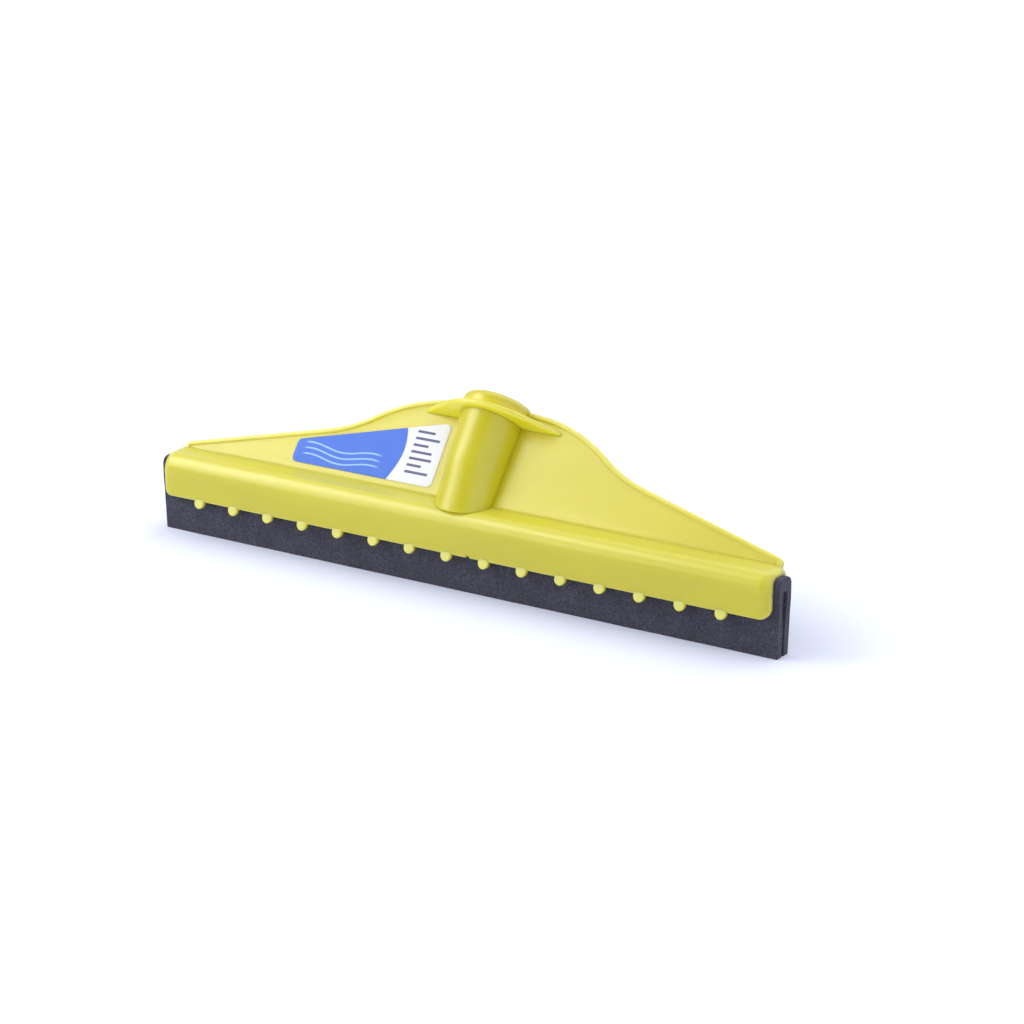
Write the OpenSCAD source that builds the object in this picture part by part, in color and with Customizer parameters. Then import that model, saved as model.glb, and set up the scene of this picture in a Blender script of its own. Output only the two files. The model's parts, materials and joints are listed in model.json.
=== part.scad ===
// Floor squeegee head with a folded foam blade.
// X runs along the blade, +Y to the back, +Z up. The floor is at Z = 0.
// The origin is under the middle of the whole head.

/* [Blade] */
// Length of the foam strip
blade_len = 300; // [200:1:600]
// Height of the folded strip, from the floor to the top of the fold
blade_h = 32.2; // [28:0.1:45]
// Thickness of the foam strip, which is one lip
lip_t = 4.2; // [3:0.1:6]
// Gap between the two lips at the floor
slit_w = 0.9; // [0.8:0.1:2]
// Radius of the hollow inside the fold
fold_gap_r = 1.9; // [1:0.1:2.5]
// Free room between a flexing lip and its seat
flex_clear = 0.3; // [0.2:0.05:0.5]

/* [Channel] */
// How far the strip stands out of the channel at each end
blade_stick = 1; // [0:0.5:5]
// Room around the strip in the channel
blade_clear = 0.3; // [0.2:0.05:0.6]
// Wall of the jaws
jaw_t = 2.6; // [1.6:0.1:4]
// How far the jaws draw in towards their lower edge
jaw_tuck = 0.3; // [0:0.1:0.8]
// Height of the jaws' lower edge above the floor
jaw_z = 16.4; // [13:0.1:20]
// Wall above the fold
roof_t = 2.7; // [2:0.1:5]
// Rounding of the two shoulders
shoulder_r = 4; // [2:0.5:5]
// Rounding of the jaws' lower corners, seen from the front
jaw_corner_r = 4.5; // [1:0.5:8]

/* [Grip pegs] */
// Diameter of a peg
peg_d = 4.7; // [3:0.1:6]
// Distance from one peg to the next
peg_pitch = 18.25; // [12:0.05:30]
// Least distance from the end of the head to a peg
peg_margin = 20; // [8:0.5:40]
// How far a peg's middle hangs below the jaw's edge
peg_drop = 0.4; // [0:0.1:2]
// How far a peg stands out of the jaw
peg_proud = 1.2; // [0.5:0.1:3]

/* [Web] */
// Angle by which the web and the socket lean back
lean = 36; // [20:1:45]
// How far the web's front face stands behind the middle of the blade, at its root
web_y = 4.2; // [0:0.1:5]
// Thickness of the web
web_t = 2; // [1.5:0.1:4]
// How far the web ends inside the head at each end
web_inset = 2.5; // [1:0.5:10]
// Height of the web's crown along its slope
web_h = 42.4; // [38:0.1:60]
// Half width of the crown, to the corner where it turns down
crown_x = 37.5; // [34:0.5:50]
// Radius that rounds the crown's corner
crown_r = 77; // [40:1:90]
// Half width at the corner where the steep flank meets the long slope
hollow_x = 66.5; // [62:0.5:80]
// Height of that corner
hollow_h = 22.8; // [16:0.1:30]
// Radius that rounds that corner
hollow_r = 75; // [20:1:90]
// Height of the web at its two ends
web_end_h = 1.5; // [1:0.1:8]
// Width of the raised rim along the web's upper edge
rim_w = 2.2; // [1:0.1:4]
// How far the rim stands out of each face of the web
rim_proud = 0.9; // [0.4:0.1:2]

/* [Socket] */
// Bore for the handle
bore_d = 21; // [18:0.5:24]
// Depth of the bore from the mouth
bore_depth = 40; // [30:1:42]
// Wall of the socket at its foot
socket_wall = 2.1; // [1.2:0.1:3]
// How much the socket's radius grows from the foot to the mouth
socket_draft = 1.2; // [0.5:0.1:3]
// Height of the mouth along the slope
mouth_h = 44; // [43:0.5:60]
// How far the socket reaches below the web's root
foot_drop = 3.5; // [2:0.5:7]
// Rounding of the socket's foot
foot_edge_r = 2; // [0.5:0.5:4]
// How far the socket's axis lies in front of the web's front face
socket_forward = 0.4; // [0:0.1:6]
// Width of the ring around the mouth
ring_w = 0.8; // [0.4:0.1:3]
// Height of the ring around the mouth
ring_h = 5; // [3:0.5:6]
// Height of the collar's lower face along the slope
collar_h = 35; // [30:0.5:36]
// Thickness of the collar
collar_t = 2.4; // [1.5:0.1:3]
// Half width of the collar, to its pointed tips
collar_x = 33; // [28:0.5:33.5]
// How far the collar stands out of the socket
collar_lip = 3.7; // [2:0.1:6]

/* [Label] */
// Distance from the middle of the head to the label's near end, on its left
label_off = 18.5; // [15:0.5:30]
// Length of the label
label_len = 71.5; // [40:0.5:75]
// Distance of the label's lower edge from the web's root
label_s = 3; // [2:0.1:6]
// Height of the label at its far end
label_low_h = 10; // [6:0.1:11]
// Height of the label at its near end
label_high_h = 29; // [20:0.1:30]
// Rounding of the label's corners
label_r = 2.5; // [0.5:0.1:4]
// Thickness of the label
label_t = 0.2; // [0.1:0.05:0.4]

/* [Hidden] */
$fn = 96;
head_color = [0.87, 0.84, 0.13];
foam_color = [0.08, 0.08, 0.09];
label_color = [0.15, 0.36, 0.72];
// A cut runs this far past the face that it opens
past = 1;
arc_steps = 12;

// Blade section
lip_half = slit_w / 2 + lip_t;
lip_mid = slit_w / 2 + lip_t / 2;
fold_r = fold_gap_r + lip_t;
fold_z = blade_h - fold_r;
peg_z = jaw_z - peg_drop;
pinch_z = peg_z + peg_d / 2 + blade_clear;
taper_z = (fold_z + pinch_z) / 2;
flex_z = peg_z - peg_d / 2 - lip_t / 2 - flex_clear;

// Channel section
head_len = blade_len - 2 * blade_stick;
cavity_r = fold_r + blade_clear;
jaw_half = cavity_r + jaw_t;
jaw_low = jaw_half - jaw_tuck;
roof_z = blade_h + blade_clear + roof_t;
shoulder_z = roof_z - shoulder_r;
tuck_z = (shoulder_z + jaw_z) / 2;

// Pegs
peg_count = floor((head_len - 2 * peg_margin) / peg_pitch) + 1;
peg_out = jaw_low + peg_proud;
peg_in = lip_half + blade_clear;

// Web outline
web_half = head_len / 2 - web_inset;

// Socket
foot_r = bore_d / 2 + socket_wall;
mouth_r = foot_r + socket_draft;
socket_len = mouth_h - ring_h + foot_drop;
ring_r = mouth_r + ring_w;
ring_edge_r = ring_h / 2;
ring_in = ring_r - ring_edge_r;
collar_r = foot_r + socket_draft * (collar_h + foot_drop) / socket_len;

// Depth of the whole head, which puts the origin under its middle
ring_edge_y = (mouth_h - ring_edge_r) * sin(lean) + (ring_in - socket_forward) * cos(lean);
back_y = web_y + ring_edge_y + ring_edge_r;
front_y = -peg_out;
middle_y = (front_y + back_y) / 2;

function unit(v) = v / norm(v);

// Points of the arc of radius r that rounds corner b of the line a, b, c
function round_corner(a, b, c, r) =
    let (
        u = unit(a - b),
        v = unit(c - b),
        half = acos(u * v) / 2,
        centre = b + unit(u + v) * r / sin(half),
        from = b + u * r / tan(half) - centre,
        to = b + v * r / tan(half) - centre,
        start = atan2(from[1], from[0]),
        turn = atan2(from[0] * to[1] - from[1] * to[0], from * to)
    )
    [for (i = [0 : arc_steps])
        let (angle = start + turn * i / arc_steps)
        centre + r * [cos(angle), sin(angle)]];

// Right half of the web's upper edge, from the crown to the end
web_edge = let (
        top = [0, web_h],
        crown = [crown_x, web_h],
        hollow = [hollow_x, hollow_h],
        end = [web_half, web_end_h]
    )
    concat(
        [top],
        round_corner(top, crown, hollow, crown_r),
        round_corner(crown, hollow, end, hollow_r),
        [end]
    );

// Moves a piece from the blade's own frame to the head's frame
module in_place() {
    translate([0, -middle_y, 0]) children();
}

// Carries a section drawn in Y and Z along X
module along_x(length) {
    rotate([90, 0, 90]) translate([0, 0, -length / 2]) linear_extrude(length) children();
}

// Carries a front view drawn in X and Z along Y
module along_y(from, to) {
    translate([0, to, 0]) rotate([90, 0, 0]) linear_extrude(to - from) children();
}

// Frame of the leaning web: X along the head, Y to the back from its front face, Z up the slope
module leaning() {
    translate([0, web_y, roof_z]) rotate([-lean, 0, 0]) children();
}

// Frame of the socket: its axis on Z, with the web's root at zero
module on_socket() {
    leaning() translate([0, -socket_forward, 0]) children();
}

// What two quarter rounds of radius r leave over at the upper corners of a section
module upper_corners(half, top, r) {
    for (side = [0, 1])
        mirror([side, 0]) translate([half - r, top - r]) difference() {
            square(r + past);
            circle(r);
        }
}

module channel_outline() {
    difference() {
        polygon([[-jaw_low, jaw_z], [-jaw_half, tuck_z], [-jaw_half, roof_z],
            [jaw_half, roof_z], [jaw_half, tuck_z], [jaw_low, jaw_z]]);
        upper_corners(jaw_half, roof_z, shoulder_r);
    }
}

module blade_cavity() {
    translate([-cavity_r, jaw_z - past]) square([2 * cavity_r, fold_z - jaw_z + past]);
    translate([0, fold_z]) circle(cavity_r);
}

// Front view of the head with its rounded lower corners
module jaw_face() {
    upper_z = jaw_z + jaw_corner_r;
    translate([-head_len / 2, upper_z]) square([head_len, roof_z + past - upper_z]);
    translate([jaw_corner_r - head_len / 2, jaw_z]) square([head_len - 2 * jaw_corner_r, jaw_corner_r + past]);
    for (side = [-1, 1])
        translate([side * (head_len / 2 - jaw_corner_r), upper_z]) circle(jaw_corner_r);
}

// One row of pegs, on the front (-1) or the back (1) jaw
module peg_row(side) {
    for (i = [0 : peg_count - 1])
        translate([(i - (peg_count - 1) / 2) * peg_pitch, side * peg_in, peg_z])
            rotate([-side * 90, 0, 0]) cylinder(h = peg_out - peg_in, d = peg_d);
}

// The channel without its hollow, which the web and the socket grow from
module channel_block() {
    along_x(head_len) channel_outline();
}

module socket_section() {
    foot_z = foot_edge_r - foot_drop;
    ring_z = mouth_h - ring_h;
    polygon([[0, -foot_drop], [foot_r - foot_edge_r, -foot_drop], [foot_r, foot_z], [mouth_r, ring_z],
        [ring_in, ring_z], [ring_in, mouth_h], [0, mouth_h]]);
    translate([foot_r - foot_edge_r, foot_z]) circle(foot_edge_r);
}

module socket_body() {
    on_socket() rotate_extrude() socket_section();
}

module web_outline(lowered = 0) {
    edge = [for (p = web_edge) [p[0], p[1] - lowered]];
    flipped = [for (i = [len(edge) - 1 : -1 : 1]) [-edge[i][0], edge[i][1]]];
    polygon(concat([[-web_half, -foot_drop]], flipped, edge, [[web_half, -foot_drop]]));
}

// The web's raised rim, as wide as rim_w below its upper edge
module rim_outline() {
    difference() {
        web_outline();
        web_outline(rim_w);
        translate([-blade_len / 2, -2 * foot_drop]) square([blade_len, 2 * foot_drop]);
    }
}

// Lens between two arcs through the collar's tips
module collar_outline() {
    front = collar_r + collar_lip + socket_forward;
    back = collar_r + collar_lip - socket_forward;
    front_r = (collar_x * collar_x + front * front) / (2 * front);
    back_r = (collar_x * collar_x + back * back) / (2 * back);
    intersection() {
        translate([0, front_r - front]) circle(front_r);
        translate([0, back - back_r]) circle(back_r);
    }
}

module collar_plate() {
    leaning() translate([0, 0, collar_h]) linear_extrude(collar_t) collar_outline();
}

module ring_section() {
    translate([0, mouth_h - ring_h]) square([ring_in, ring_h]);
    translate([ring_in, mouth_h - ring_edge_r]) circle(ring_edge_r);
}

module ring_body() {
    on_socket() rotate_extrude() ring_section();
}

module label_outline() {
    near = -label_off;
    far = near - label_len;
    corners = [[far, label_s], [near, label_s], [near, label_s + label_high_h], [far, label_s + label_low_h]];
    polygon([for (i = [0 : 3])
        each round_corner(corners[(i + 3) % 4], corners[i], corners[(i + 1) % 4], label_r)]);
}

// Seat of one lip under the fold
module lip_seat(side) {
    translate([side * lip_mid, flex_z]) circle(lip_t / 2 + flex_clear);
}

module lip_section(side) {
    translate([side * lip_mid - lip_t / 2, 0]) square([lip_t, flex_z]);
    translate([side * lip_mid, flex_z]) circle(lip_t / 2);
}

module fold_section() {
    seat_z = flex_z + flex_clear;
    difference() {
        polygon([[-lip_half, seat_z], [-lip_half, pinch_z], [-fold_r, taper_z], [-fold_r, blade_h],
            [fold_r, blade_h], [fold_r, taper_z], [lip_half, pinch_z], [lip_half, seat_z]]);
        upper_corners(fold_r, blade_h, fold_r);
        translate([0, fold_z]) circle(fold_gap_r);
        polygon([[-slit_w / 2, seat_z - past], [-slit_w / 2, pinch_z], [-fold_gap_r, taper_z],
            [-fold_gap_r, fold_z], [fold_gap_r, fold_z], [fold_gap_r, taper_z], [slit_w / 2, pinch_z],
            [slit_w / 2, seat_z - past]]);
        lip_seat(-1);
        lip_seat(1);
    }
}

module blade_channel() {
    color(head_color) in_place() difference() {
        intersection() {
            channel_block();
            along_y(-jaw_half - past, jaw_half + past) jaw_face();
        }
        along_x(head_len + 2 * past) blade_cavity();
        peg_row(-1);
        peg_row(1);
    }
}

module front_grip_pegs() {
    color(head_color) in_place() peg_row(-1);
}

module back_grip_pegs() {
    color(head_color) in_place() peg_row(1);
}

module web_panel() {
    color(head_color) in_place() difference() {
        leaning() {
            along_y(0, web_t) web_outline();
            along_y(-rim_proud, web_t + rim_proud) rim_outline();
        }
        channel_block();
        socket_body();
        collar_plate();
        ring_body();
    }
}

module handle_socket() {
    color(head_color) in_place() difference() {
        socket_body();
        on_socket() translate([0, 0, mouth_h - bore_depth]) cylinder(h = bore_depth + past, d = bore_d);
        channel_block();
    }
}

module socket_collar() {
    color(head_color) in_place() difference() {
        collar_plate();
        socket_body();
    }
}

module mouth_ring() {
    color(head_color) in_place() difference() {
        ring_body();
        socket_body();
    }
}

module label() {
    color(label_color) in_place() leaning() along_y(-label_t, 0) label_outline();
}

module blade_fold() {
    color(foam_color) in_place() along_x(blade_len) fold_section();
}

module front_lip() {
    color(foam_color) in_place() along_x(blade_len) lip_section(-1);
}

module back_lip() {
    color(foam_color) in_place() along_x(blade_len) lip_section(1);
}

blade_channel();
front_grip_pegs();
back_grip_pegs();
web_panel();
handle_socket();
socket_collar();
mouth_ring();
label();
blade_fold();
front_lip();
back_lip();
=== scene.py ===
"""Looks of a floor squeegee head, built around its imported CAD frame.

X runs along the blade, +Y to the back and +Z up, in metres, with the floor at Z = 0. Every new piece is a surface that
numpy works out on a grid: an outline with rounded corners, carried along the head or turned about the socket's axis.
"""

import json
import logging
import math
from dataclasses import dataclass
from enum import Enum
from typing import Union

import bpy
import numpy as np
from mathutils import Matrix, Vector


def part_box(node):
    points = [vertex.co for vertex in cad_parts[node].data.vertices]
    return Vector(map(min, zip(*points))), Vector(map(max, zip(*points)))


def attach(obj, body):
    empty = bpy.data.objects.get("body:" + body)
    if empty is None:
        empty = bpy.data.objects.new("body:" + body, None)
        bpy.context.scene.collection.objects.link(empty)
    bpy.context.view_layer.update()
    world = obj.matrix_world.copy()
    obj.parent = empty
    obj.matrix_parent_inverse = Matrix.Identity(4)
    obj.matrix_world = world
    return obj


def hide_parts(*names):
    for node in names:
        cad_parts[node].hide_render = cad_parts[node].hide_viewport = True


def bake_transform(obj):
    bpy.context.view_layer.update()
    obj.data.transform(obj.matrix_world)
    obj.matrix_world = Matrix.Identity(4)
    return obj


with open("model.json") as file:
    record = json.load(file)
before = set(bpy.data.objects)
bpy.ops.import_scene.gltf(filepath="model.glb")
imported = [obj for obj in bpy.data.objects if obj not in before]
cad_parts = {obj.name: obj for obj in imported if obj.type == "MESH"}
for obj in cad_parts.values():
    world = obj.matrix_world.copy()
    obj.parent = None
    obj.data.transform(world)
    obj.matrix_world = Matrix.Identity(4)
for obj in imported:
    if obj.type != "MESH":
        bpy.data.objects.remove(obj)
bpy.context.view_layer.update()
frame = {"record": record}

log = logging.getLogger("squeegee")

Array = np.ndarray
Triple = tuple[float, float, float]
Color = Triple
Socket = bpy.types.NodeSocket
Value = Union[float, Socket]

MM = 0.001
PHOTO_SIDE = 1024


class Side(Enum):
    """The two long sides of the head; the value is the sign of Y there, seen from the blade's middle plane."""

    FRONT = -1
    BACK = 1


# Outlines and skins


def srgb(red: int, green: int, blue: int) -> Color:
    """Linear colour of an 8-bit sRGB one, by the standard's curve.

    Args:
        red: red, 0 to 255.
        green: green, 0 to 255.
        blue: blue, 0 to 255.

    Returns:
        The colour as Blender's sockets take it, without alpha.
    """
    coded = np.array([red, green, blue]) / 255
    linear = np.where(coded <= 0.04045, coded / 12.92, ((coded + 0.055) / 1.055) ** 2.4)
    return tuple(float(c) for c in linear)


def unit(vectors: Array) -> Array:
    """The vectors along the last axis, each divided by its length."""
    return vectors / np.linalg.norm(vectors, axis=-1, keepdims=True)


def smooth(t: Array) -> Array:
    """Eases 0 to 1 as 3 t squared minus 2 t cubed, with t held in that range."""
    t = np.clip(t, 0, 1)
    return t * t * (3 - 2 * t)


def rounded_path(corners: Array, radii: Array, arc_steps: int, run_steps: int, closed: bool) -> Array:
    """Outlines through corner points, with each corner rounded by an arc.

    At corner b with neighbours a and c the arc's centre lies on the bisector, r / sin(half angle) from b. The arc turns
    from its tangent point on b-a to the one on b-c. Straight stretches in between are divided with closer points near
    their ends, so that smooth shading stays on the arcs.

    Args:
        corners: corner points, [..., k, 2].
        radii: radius at each corner, [k] or [..., k]; the two end corners of an open path aren't rounded.
        arc_steps: divisions of each arc.
        run_steps: points inside each straight stretch.
        closed: whether the last corner runs on to the first.

    Returns:
        The outline's points, [..., n, 2].
    """
    corners = np.asarray(corners, float)
    radii = np.broadcast_to(np.asarray(radii, float), corners.shape[:-1])
    if closed:
        before, at, after, r = np.roll(corners, 1, -2), corners, np.roll(corners, -1, -2), radii
    else:
        before, at, after, r = corners[..., :-2, :], corners[..., 1:-1, :], corners[..., 2:, :], radii[..., 1:-1]
    u, v = unit(before - at), unit(after - at)
    half = np.arccos(np.clip((u * v).sum(-1), -1, 1)) / 2
    centre = at + unit(u + v) * (r / np.sin(half))[..., None]
    reach = (r / np.tan(half))[..., None]
    first, last = at + u * reach - centre, at + v * reach - centre
    begin = np.arctan2(first[..., 1], first[..., 0])
    turn = np.arctan2(
        first[..., 0] * last[..., 1] - first[..., 1] * last[..., 0], (first * last).sum(-1)
    )
    angle = begin[..., None] + turn[..., None] * np.linspace(0, 1, arc_steps + 1)
    arcs = centre[..., None, :] + r[..., None, None] * np.stack([np.cos(angle), np.sin(angle)], -1)
    share = 0.5 - 0.5 * np.cos(np.pi * (np.arange(run_steps) + 0.5) / run_steps)
    if closed:
        leave, enter = arcs[..., -1, :], np.roll(arcs[..., 0, :], -1, -2)
    else:
        leave = np.concatenate([corners[..., :1, :], arcs[..., -1, :]], -2)
        enter = np.concatenate([arcs[..., 0, :], corners[..., -1:, :]], -2)
    runs = leave[..., None, :] + (enter - leave)[..., None, :] * share[:, None]
    shape = corners.shape[:-2] + (-1, 2)
    if closed:
        return np.concatenate([arcs, runs], -2).reshape(shape)
    middle = np.concatenate([arcs, runs[..., 1:, :, :]], -2).reshape(shape)
    return np.concatenate([corners[..., :1, :], runs[..., 0, :, :], middle, corners[..., -1:, :]], -2)


def inward_normals(path: Array) -> Array:
    """Unit normals of an open path, to the right of its run: the slope over its length, turned by a right angle."""
    step = np.linalg.norm(np.diff(path, axis=0), axis=1)
    slope = np.gradient(path, np.concatenate([[0], np.cumsum(step)]), axis=0)
    return unit(np.stack([slope[:, 1], -slope[:, 0]], -1))


def copies_of(indices: Array, copies: int, stride: int) -> Array:
    """The same face corners for each copy of a grid, with the copy's own vertices."""
    return (indices[None] + (np.arange(copies) * stride)[:, None, None]).reshape(-1, indices.shape[-1])


def skin(name: str, rows: Array, ring: bool = False) -> bpy.types.Object:
    """One smooth closed mesh over grids of points whose columns run round.

    Neighbouring rows are joined by quads. The first and the last row are each closed by one flat face, or joined to
    each other where the rows run round too. Faces point outwards: the sum of each face's corner dotted with the cross
    product of its sides, which is six times the volume, is made positive.

    Args:
        name: the piece's name.
        rows: points in metres, [m, n, 3], or [k, m, n, 3] for k separate copies of the form.
        ring: whether the last row joins the first.

    Returns:
        The new object, linked to the scene, at the origin.
    """
    grids = rows if rows.ndim == 4 else rows[None]
    copies, m, n = grids.shape[:3]
    index = np.arange(m * n).reshape(m, n)
    upper = np.roll(index, -1, 0) if ring else index[1:]
    lower = index if ring else index[:-1]
    quads = np.stack([lower, np.roll(lower, -1, 1), np.roll(upper, -1, 1), upper], -1).reshape(-1, 4)
    p = grids[0].reshape(-1, 3) - grids[0].reshape(-1, 3).mean(0)
    a, b, c, d = (p[quads[:, i]] for i in range(4))
    volume = (a * (np.cross(b, c) + np.cross(c, d))).sum()
    caps = np.stack([index[0, ::-1], index[-1]])
    if volume < 0:
        quads, caps = quads[:, ::-1], caps[:, ::-1]
    faces = copies_of(quads, copies, m * n).tolist()
    flat = 0
    if not ring:
        ends = copies_of(caps, copies, m * n).tolist()
        flat = len(ends)
        faces += ends
    mesh = bpy.data.meshes.new(name)
    mesh.from_pydata(grids.reshape(-1, 3), [], faces)
    shading = np.ones(len(faces), bool)
    shading[len(faces) - flat:] = False
    mesh.polygons.foreach_set("use_smooth", shading)
    mesh.update()
    piece = bpy.data.objects.new(name, mesh)
    bpy.context.scene.collection.objects.link(piece)
    return piece


def mark(piece: bpy.types.Object, name: str, values: Array) -> None:
    """Keeps one number per vertex on a piece, for its material to read.

    Args:
        piece: the mesh object.
        name: the attribute's name.
        values: the numbers, in the order of the vertices.
    """
    layer = piece.data.attributes.new(name, "FLOAT", "POINT")
    layer.data.foreach_set("value", np.ascontiguousarray(values, np.float32).ravel())


# Finishes


class Graph:
    """A new material's nodes, with short calls that add and wire them."""

    def __init__(self, name: str) -> None:
        """Starts an empty node tree.

        Args:
            name: the material's name.
        """
        self.material = bpy.data.materials.new(name)
        self.material.use_nodes = True
        self.tree = self.material.node_tree
        self.tree.nodes.clear()

    def add(self, kind: str, **settings: object) -> bpy.types.Node:
        """Adds a node and sets its properties.

        Args:
            kind: the node's type name in Blender.
            **settings: the properties and their values.

        Returns:
            The new node.
        """
        node = self.tree.nodes.new(kind)
        for name, value in settings.items():
            setattr(node, name, value)
        return node

    def feed(self, target: Socket, value: Value) -> None:
        """Wires a socket into the target, or sets the target's own value."""
        if isinstance(value, bpy.types.NodeSocket):
            self.tree.links.new(value, target)
        else:
            target.default_value = value

    def fix(self, node: bpy.types.Node, **values: object) -> None:
        """Sets a node's own values; an underscore in a name stands for the space in the socket's name."""
        for name, value in values.items():
            node.inputs[name.replace("_", " ")].default_value = value

    def place(self, stretch: Triple = (1, 1, 1)) -> Socket:
        """Object coordinates, stretched.

        Args:
            stretch: factor on each axis.

        Returns:
            The coordinates' socket.
        """
        coords = self.add("ShaderNodeTexCoord")
        mapping = self.add("ShaderNodeMapping")
        mapping.inputs["Scale"].default_value = stretch
        self.feed(mapping.inputs["Vector"], coords.outputs["Object"])
        return mapping.outputs["Vector"]

    def noise(self, where: Socket, size: float, detail: float = 2.0) -> Socket:
        """Cloudy noise, 0 to 1.

        Args:
            where: coordinates in metres.
            size: width of a cloud in metres.
            detail: octaves of finer noise.

        Returns:
            The noise's socket.
        """
        node = self.add("ShaderNodeTexNoise")
        self.feed(node.inputs["Vector"], where)
        node.inputs["Scale"].default_value = 1 / size
        node.inputs["Detail"].default_value = detail
        return node.outputs["Fac"]

    def cells(self, where: Socket, size: float) -> Socket:
        """Distance to the nearest of scattered points, as in closed foam cells.

        Args:
            where: coordinates in metres.
            size: width of a cell in metres.

        Returns:
            The distance's socket.
        """
        node = self.add("ShaderNodeTexVoronoi")
        self.feed(node.inputs["Vector"], where)
        node.inputs["Scale"].default_value = 1 / size
        return node.outputs["Distance"]

    def remap(self, value: Value, low: float, high: float, to_low: float = 0.0, to_high: float = 1.0) -> Socket:
        """Carries a range over to another one, with the ends held.

        Args:
            value: the value to carry over.
            low: start of the range.
            high: end of the range.
            to_low: what the start becomes.
            to_high: what the end becomes.

        Returns:
            The result's socket.
        """
        node = self.add("ShaderNodeMapRange")
        for socket, number in zip(node.inputs[1:5], (low, high, to_low, to_high)):
            socket.default_value = number
        self.feed(node.inputs["Value"], value)
        return node.outputs["Result"]

    def math(self, operation: str, first: Value, second: Value = 0.0) -> Socket:
        """One sum of two values.

        Args:
            operation: the Math node's operation.
            first: first value.
            second: second value.

        Returns:
            The result's socket.
        """
        node = self.add("ShaderNodeMath", operation=operation)
        self.feed(node.inputs[0], first)
        self.feed(node.inputs[1], second)
        return node.outputs[0]

    def product(self, *values: Value) -> Socket:
        """All the values multiplied, from the first one on.

        Args:
            *values: two values or more.

        Returns:
            The result's socket.
        """
        total = values[0]
        for value in values[1:]:
            total = self.math("MULTIPLY", total, value)
        return total

    def blend(self, share: Value, first: Union[Color, Socket], second: Union[Color, Socket]) -> Socket:
        """A colour between two others.

        Args:
            share: 0 for the first, 1 for the second.
            first: first colour.
            second: second colour.

        Returns:
            The colour's socket.
        """
        node = self.add("ShaderNodeMix", data_type="RGBA")
        self.feed(node.inputs[0], share)
        for socket, color in ((node.inputs[6], first), (node.inputs[7], second)):
            self.feed(socket, color if isinstance(color, bpy.types.NodeSocket) else (*color, 1.0))
        return node.outputs[2]

    def attribute(self, name: str) -> Socket:
        """A number that the piece keeps on each vertex."""
        return self.add("ShaderNodeAttribute", attribute_name=name).outputs["Fac"]

    def bump(self, height: Socket, depth: float, strength: float = 1.0) -> Socket:
        """Normals of a finely uneven surface.

        Args:
            height: height, 0 to 1.
            depth: what a height of 1 means, in metres.
            strength: share of the effect.

        Returns:
            The normals' socket.
        """
        node = self.add("ShaderNodeBump")
        node.inputs["Strength"].default_value = strength
        node.inputs["Distance"].default_value = depth
        self.feed(node.inputs["Height"], height)
        return node.outputs["Normal"]

    def surface(self, shader: Socket) -> bpy.types.Material:
        """Makes a shader the material's surface and returns the material."""
        output = self.add("ShaderNodeOutputMaterial")
        self.feed(output.inputs["Surface"], shader)
        return self.material


@dataclass(frozen=True)
class MouldedPlastic:
    """Glossy lime-yellow moulding: faint clouds in its colour, an uneven skin, painted highlights and a painted glow.

    Attributes:
        name: the material's name.
        color: body colour.
        cloud: the colour that the body drifts to in faint clouds.
        edge: whitish colour of the painted highlights on edges, ends and shoulders.
        edge_highlight_share: how much of that painted highlight a place takes at most.
        thin: warmer, brighter colour painted where light would come through a thin wall, a painted glow.
        gloss: roughness where the skin is smoothest.
        dull: roughness where it is dullest.
        ior: index of refraction, which sets how strongly the skin mirrors.
        scatter: share of the light that goes on inside the plastic.
        scatter_tint: how far red, green and blue go there, as shares of the depth.
        scatter_depth: that depth.
        haze: strength of the soft haze at grazing angles.
        haze_rough: spread of that haze.
        stretch: how clouds and waves are drawn out along the head.
        cloud_size: width of a cloud in the colour.
        patch_size: width of a smoother or a duller patch.
        wave_size: width of the skin's shallow waves.
        wave_height: height of those waves.
        grain_size: width of the skin's fine grain.
        grain_share: height of the grain as a share of the waves' height.
    """

    name: str = "moulded_yellow"
    color: Color = srgb(216, 207, 27)
    cloud: Color = srgb(211, 202, 22)
    edge: Color = srgb(240, 235, 125)
    edge_highlight_share: float = 0.7
    thin: Color = srgb(255, 236, 40)
    gloss: float = 0.30
    dull: float = 0.36
    ior: float = 1.8
    scatter: float = 0.8
    scatter_tint: Triple = (1.0, 0.9, 0.15)
    scatter_depth: float = 3.5 * MM
    haze: float = 0.06
    haze_rough: float = 0.35
    stretch: Triple = (0.35, 1.0, 1.0)
    cloud_size: float = 22 * MM
    patch_size: float = 6 * MM
    wave_size: float = 14 * MM
    wave_height: float = 0.06 * MM
    grain_size: float = 0.7 * MM
    grain_share: float = 0.04

    def make(self) -> bpy.types.Material:
        """Builds the material."""
        g = Graph(self.name)
        shader = g.add("ShaderNodeBsdfPrincipled")
        g.fix(
            shader, IOR=self.ior, Subsurface_Weight=self.scatter, Subsurface_Radius=self.scatter_tint,
            Subsurface_Scale=self.scatter_depth, Sheen_Weight=self.haze, Sheen_Roughness=self.haze_rough,
        )
        along = g.place(self.stretch)
        drift = g.remap(g.noise(along, self.cloud_size, 3), 0.35, 0.65)
        body = g.blend(drift, self.color, self.cloud)
        # painted glow: the thin mark warms and brightens the body where walls are thin
        body = g.blend(g.attribute("thin"), body, self.thin)
        # painted highlight: the edge mark pales the body towards the whitish edge colour
        pale = g.math("MULTIPLY", g.attribute("edge"), self.edge_highlight_share)
        g.feed(shader.inputs["Base Color"], g.blend(pale, body, self.edge))
        patches = g.noise(along, self.patch_size, 2)
        g.feed(shader.inputs["Roughness"], g.remap(patches, 0.3, 0.7, self.gloss, self.dull))
        waves = g.noise(along, self.wave_size, 1)
        grain = g.noise(g.place(), self.grain_size, 2)
        height = g.math("ADD", waves, g.math("MULTIPLY", grain, self.grain_share))
        g.feed(shader.inputs["Normal"], g.bump(height, self.wave_height))
        return g.surface(shader.outputs["BSDF"])


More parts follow.
